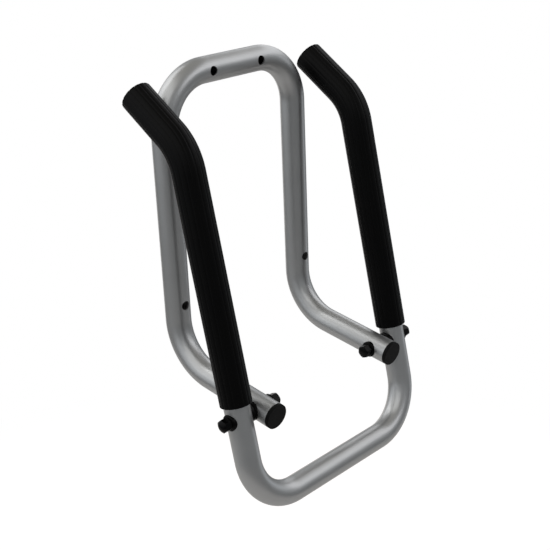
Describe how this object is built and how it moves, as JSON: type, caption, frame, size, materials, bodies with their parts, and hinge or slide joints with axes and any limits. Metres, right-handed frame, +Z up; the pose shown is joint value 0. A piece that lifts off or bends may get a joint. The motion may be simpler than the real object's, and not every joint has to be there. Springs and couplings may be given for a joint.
{
  "type": "wall storage hanger",
  "caption": "Fold-down wall hanger of bent round tube: a wall frame with screw holes carries a U-shaped arm frame with ribbed soft sleeves, which swings down to hold gear.",
  "frame": {"origin": "midway between the two upper screw holes, on the wall face", "axes": "+Z up, +Y into the wall, +X to the right as seen from the room"},
  "size_m": [0.2754, 0.1522, 0.4108],
  "materials": {
    "silver_tube": "satin silver powder coat on steel tube",
    "ribbed_sleeve": "matt ribbed rubber",
    "black_cap": "fine-textured moulded plastic",
    "black_steel": "black coated steel",
    "black_saddle": "moulded plastic"
  },
  "bodies": {
    "wall_assembly": {"wall_frame": "silver_tube", "left_leg_end_cap": "black_cap", "right_leg_end_cap": "black_cap", "left_pivot_bolt": "black_steel", "right_pivot_bolt": "black_steel", "left_pivot_cap_nut": "black_steel", "right_pivot_cap_nut": "black_steel", "left_leg_saddle": "black_saddle", "right_leg_saddle": "black_saddle", "left_head_saddle": "black_saddle", "right_head_saddle": "black_saddle"},
    "arm_assembly": {"arm_frame": "silver_tube", "left_arm_sleeve": "ribbed_sleeve", "right_arm_sleeve": "ribbed_sleeve", "left_arm_tip_plug": "black_cap", "right_arm_tip_plug": "black_cap", "left_nut_saddle": "black_saddle", "right_nut_saddle": "black_saddle", "left_arm_saddle": "black_saddle", "right_arm_saddle": "black_saddle"}
  },
  "joints": [
    {"name": "arm_fold", "type": "hinge", "parent": "wall_assembly", "child": "arm_assembly", "pos_m": [0, -0.12076, -0.29455], "axis": [1, 0, 0], "range_deg": [0, 94.6]}
  ]
}
